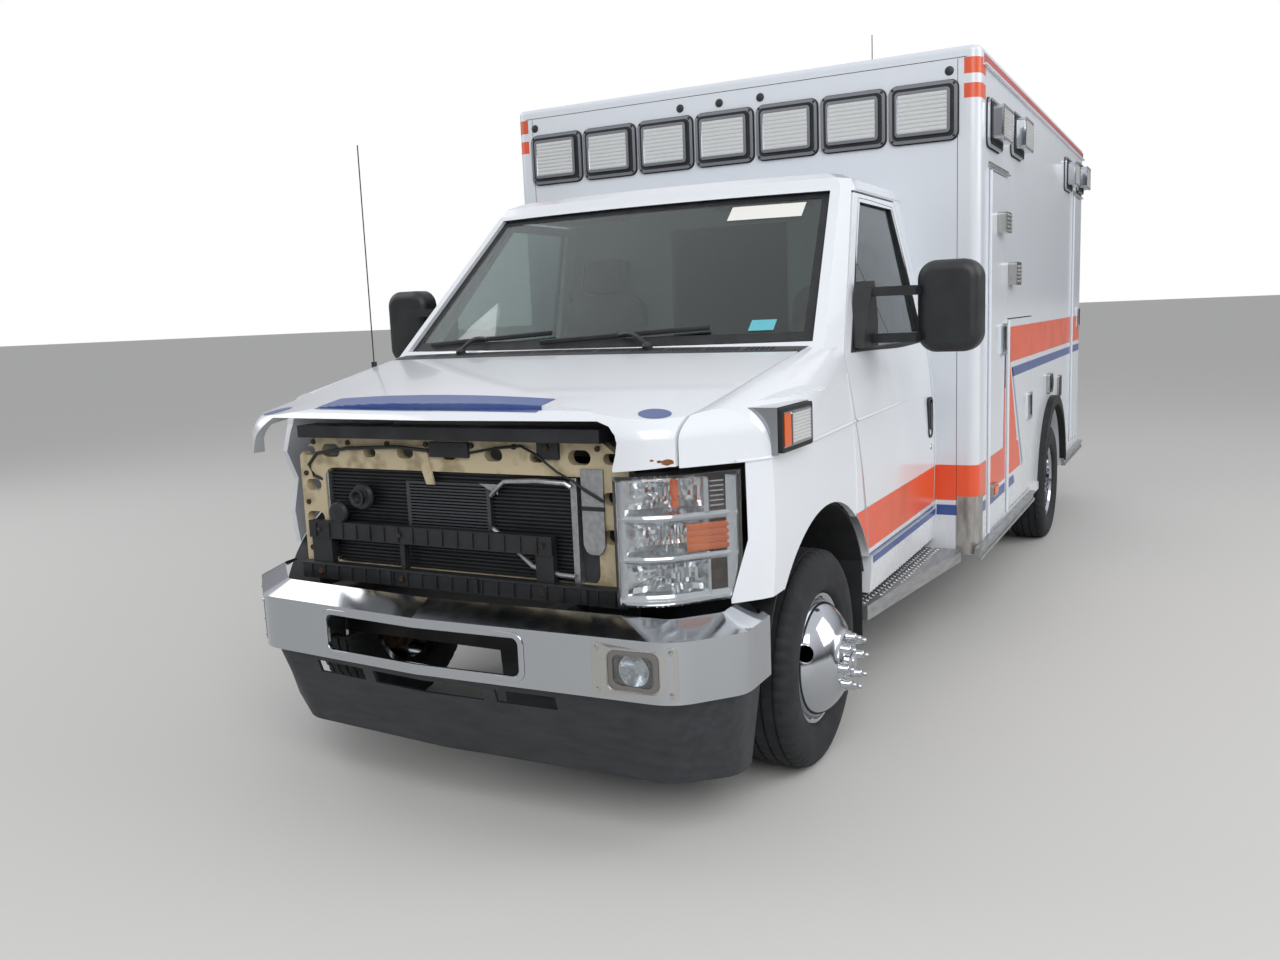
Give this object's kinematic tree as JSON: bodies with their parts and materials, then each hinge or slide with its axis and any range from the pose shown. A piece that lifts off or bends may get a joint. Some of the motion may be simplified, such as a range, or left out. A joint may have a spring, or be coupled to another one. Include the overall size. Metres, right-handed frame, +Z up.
{
  "type": "box body ambulance",
  "caption": "Ambulance on a cutaway van chassis with a box body, opening doors and hood, lockers, twin rear wheels and steered front wheels.",
  "frame": {"origin": "middle of the bounding box on the ground the tyres stand on", "axes": "+X to the driver's side (the vehicle's left), +Y to the rear, +Z up; the nose faces -Y"},
  "size_m": [2.756, 6.713, 2.99],
  "materials": {
    "white_paint": "gloss",
    "cream_paint": "satin",
    "frame_paint": "satin",
    "bright_chrome": "polished",
    "tread_plate": "satin",
    "cooler_metal": "satin",
    "cast_metal": "rough",
    "black_plastic": "matte",
    "charcoal_plastic": "matte",
    "interior_plastic": "matte",
    "seat_vinyl": "satin",
    "black_rubber": "matte",
    "black_tyre": "matte",
    "lamp_lens": "gloss",
    "clear_glass": "gloss"
  },
  "bodies": {
    "body": {"aerials": "black_plastic", "air_dam": "charcoal_plastic", "axles": "frame_paint", "body_floor": "frame_paint", "body_roof": "white_paint", "body_wall_front": "white_paint", "body_wall_left": "white_paint", "body_wall_rear": "white_paint", "body_wall_right": "white_paint", "cab_floor": "interior_plastic", "cab_frame": "white_paint", "cab_seats": "seat_vinyl", "chassis_frame": "frame_paint", "cowl_grille": "black_plastic", "dashboard": "interior_plastic", "engine_block": "cast_metal", "entry_step_well": "tread_plate", "fender_left": "white_paint", "fender_right": "white_paint", "front_bumper": "bright_chrome", "front_lamps": "lamp_lens", "grille_carrier": "black_plastic", "lockers": "tread_plate", "radiator_pack": "cooler_metal", "radiator_support": "cream_paint", "rub_rails": "tread_plate", "side_fittings": "bright_chrome", "steps": "tread_plate", "warning_lamps": "bright_chrome", "wheel_housings": "black_rubber", "windshield": "clear_glass"},
    "hood": {"hood": "white_paint"},
    "cab_door_left": {"cab_door_left": "white_paint", "door_glass_left": "clear_glass", "mirror_left": "black_plastic"},
    "cab_door_right": {"cab_door_right": "white_paint", "door_glass_right": "clear_glass", "mirror_right": "black_plastic"},
    "locker_door_front": {"locker_door_front": "white_paint", "locker_door_fittings": "bright_chrome"},
    "locker_door_lower": {"locker_door_lower": "white_paint"},
    "locker_door_rear": {"locker_door_rear": "white_paint"},
    "side_entry_door": {"side_entry_door": "white_paint", "side_entry_glass": "clear_glass"},
    "rear_door_left": {"rear_door_left": "white_paint", "rear_glass_left": "clear_glass"},
    "rear_door_right": {"rear_door_right": "white_paint", "rear_glass_right": "clear_glass"},
    "knuckle_left": {"knuckle_left": "cast_metal"},
    "knuckle_right": {"knuckle_right": "cast_metal"},
    "wheel_front_left": {"tyre_front_left": "black_tyre", "rim_front_left": "bright_chrome"},
    "wheel_front_right": {"tyre_front_right": "black_tyre", "rim_front_right": "bright_chrome"},
    "wheel_rear_left": {"tyre_rear_left": "black_tyre", "rim_rear_left": "bright_chrome"},
    "wheel_rear_right": {"tyre_rear_right": "black_tyre", "rim_rear_right": "bright_chrome"}
  },
  "joints": [
    {"name": "steer_left", "type": "hinge", "parent": "body", "child": "knuckle_left", "pos_m": [0.79, -2.4265, 0.372], "axis": [0, 0, 1], "range_deg": [-30, 30]},
    {"name": "steer_right", "type": "hinge", "parent": "body", "child": "knuckle_right", "pos_m": [-0.79, -2.4265, 0.372], "axis": [0, 0, 1], "range_deg": [-30, 30]},
    {"name": "spin_front_left", "type": "hinge", "parent": "knuckle_left", "child": "wheel_front_left", "pos_m": [0.8815, -2.4265, 0.372], "axis": [1, 0, 0], "continuous": true},
    {"name": "spin_front_right", "type": "hinge", "parent": "knuckle_right", "child": "wheel_front_right", "pos_m": [-0.8815, -2.4265, 0.372], "axis": [1, 0, 0], "continuous": true},
    {"name": "spin_rear_left", "type": "hinge", "parent": "body", "child": "wheel_rear_left", "pos_m": [0.967, 1.5865, 0.372], "axis": [1, 0, 0], "continuous": true},
    {"name": "spin_rear_right", "type": "hinge", "parent": "body", "child": "wheel_rear_right", "pos_m": [-0.967, 1.5865, 0.372], "axis": [1, 0, 0], "continuous": true},
    {"name": "hood_hinge", "type": "hinge", "parent": "body", "child": "hood", "pos_m": [0, -2.3215, 1.41], "axis": [-1, 0, 0], "range_deg": [0, 45]},
    {"name": "cab_door_left_hinge", "type": "hinge", "parent": "body", "child": "cab_door_left", "pos_m": [1.02, -2.1435, 0.9], "axis": [0.074, 0, -0.9973], "range_deg": [0, 65]},
    {"name": "cab_door_right_hinge", "type": "hinge", "parent": "body", "child": "cab_door_right", "pos_m": [-1.02, -2.1435, 0.9], "axis": [0.074, 0, 0.9973], "range_deg": [0, 65]},
    {"name": "locker_front_hinge", "type": "hinge", "parent": "body", "child": "locker_door_front", "pos_m": [1.206, -0.6265, 1.3], "axis": [0, 0, -1], "range_deg": [0, 95]},
    {"name": "locker_lower_hinge", "type": "hinge", "parent": "body", "child": "locker_door_lower", "pos_m": [1.206, -0.1105, 0.96], "axis": [0, 0, -1], "range_deg": [0, 95]},
    {"name": "locker_rear_hinge", "type": "hinge", "parent": "body", "child": "locker_door_rear", "pos_m": [1.206, 2.5835, 1.386], "axis": [0, 0, -1], "range_deg": [0, 95]},
    {"name": "side_entry_hinge", "type": "hinge", "parent": "body", "child": "side_entry_door", "pos_m": [-1.206, -0.0965, 1.353], "axis": [0, 0, 1], "range_deg": [0, 95]},
    {"name": "rear_door_left_hinge", "type": "hinge", "parent": "body", "child": "rear_door_left", "pos_m": [0.625, 3.1755, 1.515], "axis": [0, 0, -1], "range_deg": [0, 150]},
    {"name": "rear_door_right_hinge", "type": "hinge", "parent": "body", "child": "rear_door_right", "pos_m": [-0.625, 3.1755, 1.515], "axis": [0, 0, 1], "range_deg": [0, 150]}
  ],
  "couplings": [
    {"joint": "steer_right", "follows": "steer_left", "ratio": 1}
  ]
}
